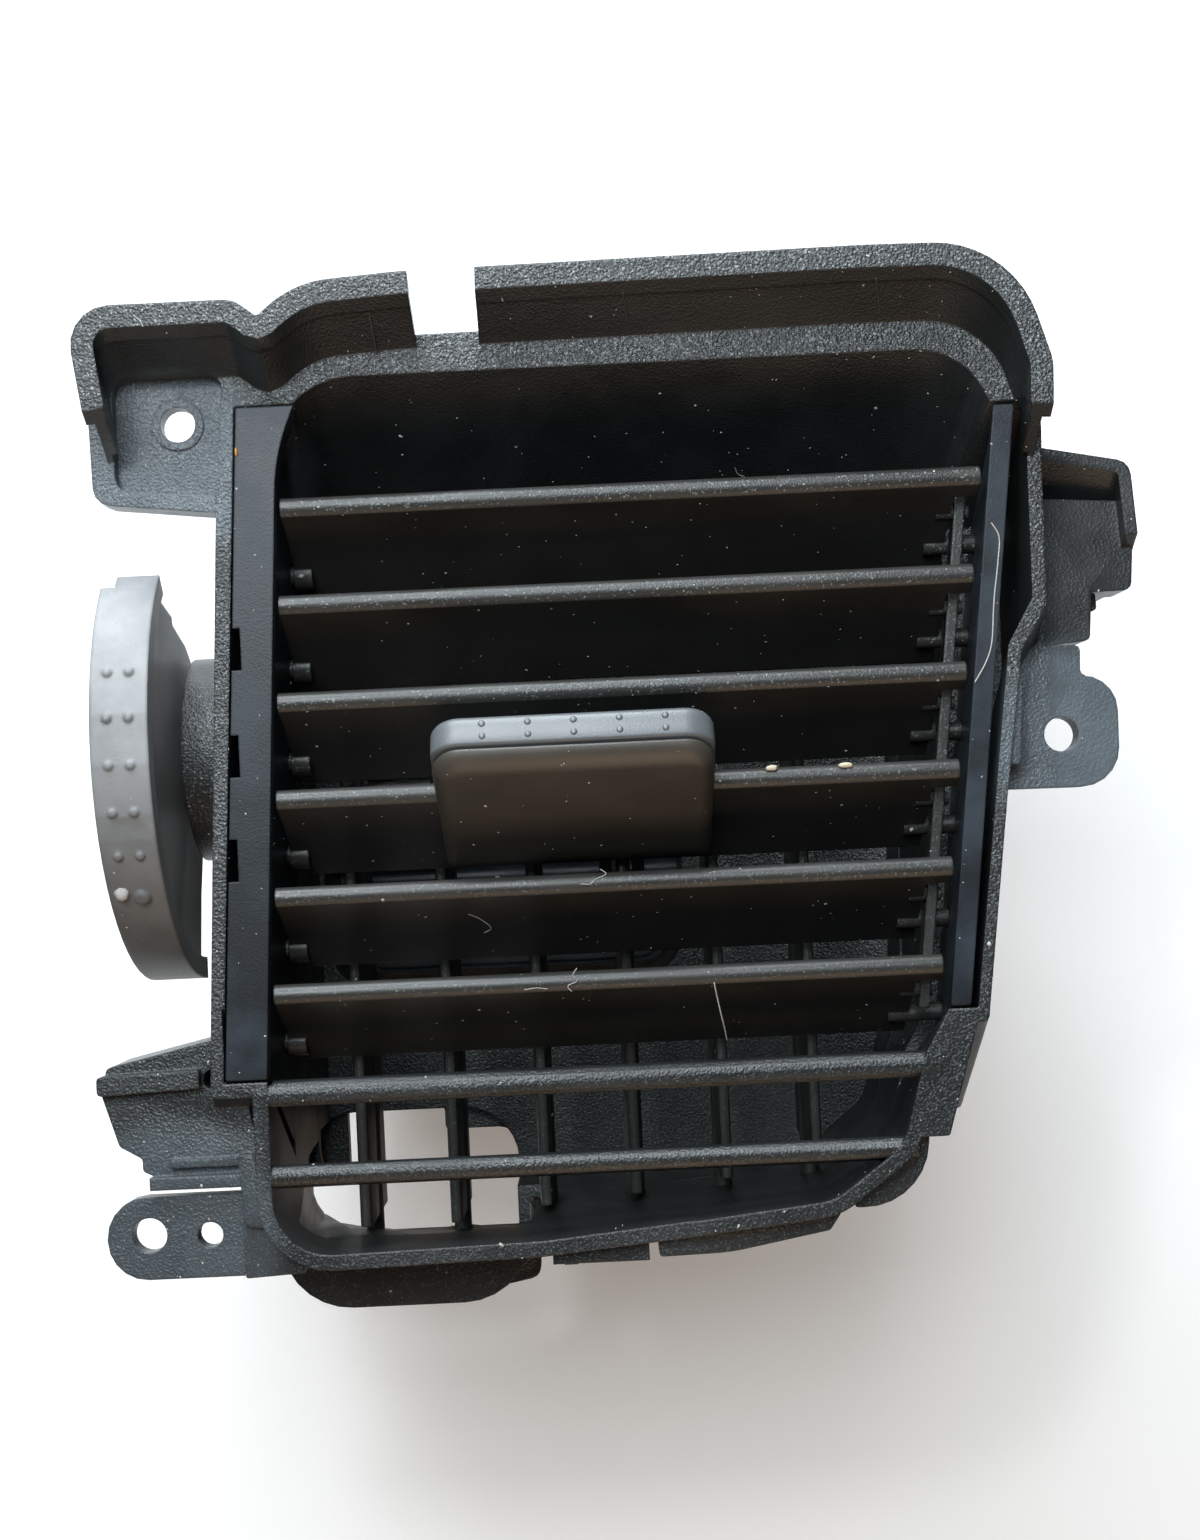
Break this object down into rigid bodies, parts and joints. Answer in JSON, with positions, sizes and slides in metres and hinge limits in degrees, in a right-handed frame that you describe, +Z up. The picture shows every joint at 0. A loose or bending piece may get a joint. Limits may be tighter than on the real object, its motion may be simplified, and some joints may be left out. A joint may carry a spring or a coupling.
{
  "type": "dashboard air vent",
  "caption": "Side air vent for a dashboard: black moulded housing with screw tabs, tilting and swivelling vanes, slide knob, thumbwheel, linked damper and rear duct.",
  "frame": {"origin": "on the front face of the ledge above the opening, on the middle line of the grille", "axes": "+X to the viewer's right, +Y into the dash along the airway, +Z up along the grille face"},
  "size_m": [0.1534, 0.1119, 0.1579],
  "materials": {
    "housing_plastic": "black, fine grain, satin sheen",
    "carrier_plastic": "blue-black, fine grain",
    "vane_plastic": "blue-black, satin, bright nose edge",
    "knob_plastic": "dark grey, fine grain",
    "wheel_plastic": "grey, matt",
    "natural_plastic": "undyed off-white",
    "clip_steel": "bright spring steel",
    "seal_foam": "black open-cell foam",
    "pad_rubber": "black, dull"
  },
  "bodies": {
    "frame": {"housing": "housing_plastic", "rear_duct": "housing_plastic", "outlet_seal": "seal_foam", "collar_seal": "seal_foam", "left_vane_carrier": "carrier_plastic", "right_vane_carrier": "carrier_plastic", "wheel_pin": "natural_plastic"},
    "tilt_vane_1": {"horizontal_vane_1": "vane_plastic"},
    "tilt_vane_2": {"horizontal_vane_2": "vane_plastic"},
    "tilt_vane_3": {"horizontal_vane_3": "vane_plastic"},
    "tilt_vane_4": {"horizontal_vane_4": "vane_plastic"},
    "tilt_vane_5": {"horizontal_vane_5": "vane_plastic"},
    "tilt_vane_6": {"horizontal_vane_6": "vane_plastic"},
    "tilt_link": {"vane_link_bar": "vane_plastic"},
    "knob": {"knob_upper_shell": "knob_plastic", "knob_lower_shell": "knob_plastic", "knob_friction_pad": "pad_rubber"},
    "swivel_vane_1": {"vertical_vane_1": "vane_plastic"},
    "swivel_vane_2": {"vertical_vane_2": "vane_plastic"},
    "swivel_vane_3": {"vertical_vane_3": "vane_plastic"},
    "swivel_vane_4": {"vertical_vane_4": "vane_plastic"},
    "swivel_vane_5": {"vertical_vane_5": "vane_plastic"},
    "swivel_vane_6": {"vertical_vane_6": "vane_plastic"},
    "swivel_link": {"vertical_link_bar": "natural_plastic"},
    "wheel": {"thumbwheel": "wheel_plastic", "rod_clip_front": "clip_steel"},
    "rod": {"wheel_link_rod": "natural_plastic"},
    "damper": {"damper_flap": "carrier_plastic", "damper_crank": "natural_plastic", "damper_foam_upper": "seal_foam", "damper_foam_lower": "seal_foam", "rod_clip_rear": "clip_steel"}
  },
  "joints": [
    {"name": "vane_4_tilt", "type": "hinge", "parent": "frame", "child": "tilt_vane_4", "pos_m": [0, 0.0133, -0.06899], "axis": [1, 0, 0], "range_deg": [-22, 22]},
    {"name": "vane_1_tilt", "type": "hinge", "parent": "frame", "child": "tilt_vane_1", "pos_m": [0, 0.0133, -0.02744], "axis": [1, 0, 0], "range_deg": [-22, 22]},
    {"name": "vane_2_tilt", "type": "hinge", "parent": "frame", "child": "tilt_vane_2", "pos_m": [0, 0.0133, -0.04129], "axis": [1, 0, 0], "range_deg": [-22, 22]},
    {"name": "vane_3_tilt", "type": "hinge", "parent": "frame", "child": "tilt_vane_3", "pos_m": [0, 0.0133, -0.05514], "axis": [1, 0, 0], "range_deg": [-22, 22]},
    {"name": "vane_5_tilt", "type": "hinge", "parent": "frame", "child": "tilt_vane_5", "pos_m": [0, 0.0133, -0.08284], "axis": [1, 0, 0], "range_deg": [-22, 22]},
    {"name": "vane_6_tilt", "type": "hinge", "parent": "frame", "child": "tilt_vane_6", "pos_m": [0, 0.0133, -0.09669], "axis": [1, 0, 0], "range_deg": [-22, 22]},
    {"name": "tilt_link_swing", "type": "hinge", "parent": "tilt_vane_3", "child": "tilt_link", "pos_m": [0.051, 0.00741, -0.05135], "axis": [1, 0, 0], "range_deg": [-22, 22]},
    {"name": "knob_slide", "type": "slide", "parent": "tilt_vane_4", "child": "knob", "axis": [1, 0, 0], "range_m": [-0.0063, 0.0063]},
    {"name": "vane_1_swivel", "type": "hinge", "parent": "frame", "child": "swivel_vane_1", "pos_m": [-0.0386, 0.034, -0.0784], "axis": [0, 0, 1], "range_deg": [-27.2, 27.2]},
    {"name": "vane_2_swivel", "type": "hinge", "parent": "frame", "child": "swivel_vane_2", "pos_m": [-0.02465, 0.034, -0.0784], "axis": [0, 0, 1], "range_deg": [-27.2, 27.2]},
    {"name": "vane_3_swivel", "type": "hinge", "parent": "frame", "child": "swivel_vane_3", "pos_m": [-0.0107, 0.034, -0.0784], "axis": [0, 0, 1], "range_deg": [-27.2, 27.2]},
    {"name": "vane_4_swivel", "type": "hinge", "parent": "frame", "child": "swivel_vane_4", "pos_m": [0.00325, 0.034, -0.0784], "axis": [0, 0, 1], "range_deg": [-27.2, 27.2]},
    {"name": "vane_5_swivel", "type": "hinge", "parent": "frame", "child": "swivel_vane_5", "pos_m": [0.0172, 0.034, -0.0784], "axis": [0, 0, 1], "range_deg": [-27.2, 27.2]},
    {"name": "vane_6_swivel", "type": "hinge", "parent": "frame", "child": "swivel_vane_6", "pos_m": [0.03115, 0.034, -0.0784], "axis": [0, 0, 1], "range_deg": [-27.2, 27.2]},
    {"name": "swivel_link_swing", "type": "hinge", "parent": "swivel_vane_3", "child": "swivel_link", "pos_m": [-0.0107, 0.04, -0.0314], "axis": [0, 0, 1], "range_deg": [-27.2, 27.2]},
    {"name": "wheel_turn", "type": "hinge", "parent": "frame", "child": "wheel", "pos_m": [-0.062, 0.023, -0.0537], "axis": [-1, 0, 0], "range_deg": [0, 72]},
    {"name": "rod_swing", "type": "hinge", "parent": "wheel", "child": "rod", "pos_m": [-0.0656, 0.01824, -0.03842], "axis": [-1, 0, 0], "range_deg": [-72, 0]},
    {"name": "damper_turn", "type": "hinge", "parent": "frame", "child": "damper", "pos_m": [-0.017, 0.083, -0.0744], "axis": [-1, 0, 0], "range_deg": [0, 72]}
  ],
  "couplings": [
    {"joint": "vane_1_tilt", "follows": "vane_4_tilt", "ratio": 1},
    {"joint": "vane_2_tilt", "follows": "vane_4_tilt", "ratio": 1},
    {"joint": "vane_3_tilt", "follows": "vane_4_tilt", "ratio": 1},
    {"joint": "vane_5_tilt", "follows": "vane_4_tilt", "ratio": 1},
    {"joint": "vane_6_tilt", "follows": "vane_4_tilt", "ratio": 1},
    {"joint": "tilt_link_swing", "follows": "vane_4_tilt", "ratio": -1},
    {"joint": "vane_1_swivel", "follows": "knob_slide", "rad_per_m": 74.794},
    {"joint": "vane_2_swivel", "follows": "knob_slide", "rad_per_m": 74.794},
    {"joint": "vane_3_swivel", "follows": "knob_slide", "rad_per_m": 74.794},
    {"joint": "vane_4_swivel", "follows": "knob_slide", "rad_per_m": 74.794},
    {"joint": "vane_5_swivel", "follows": "knob_slide", "rad_per_m": 74.794},
    {"joint": "vane_6_swivel", "follows": "knob_slide", "rad_per_m": 74.794},
    {"joint": "swivel_link_swing", "follows": "knob_slide", "rad_per_m": -74.794},
    {"joint": "rod_swing", "follows": "wheel_turn", "ratio": -1},
    {"joint": "damper_turn", "follows": "wheel_turn", "ratio": 1}
  ]
}
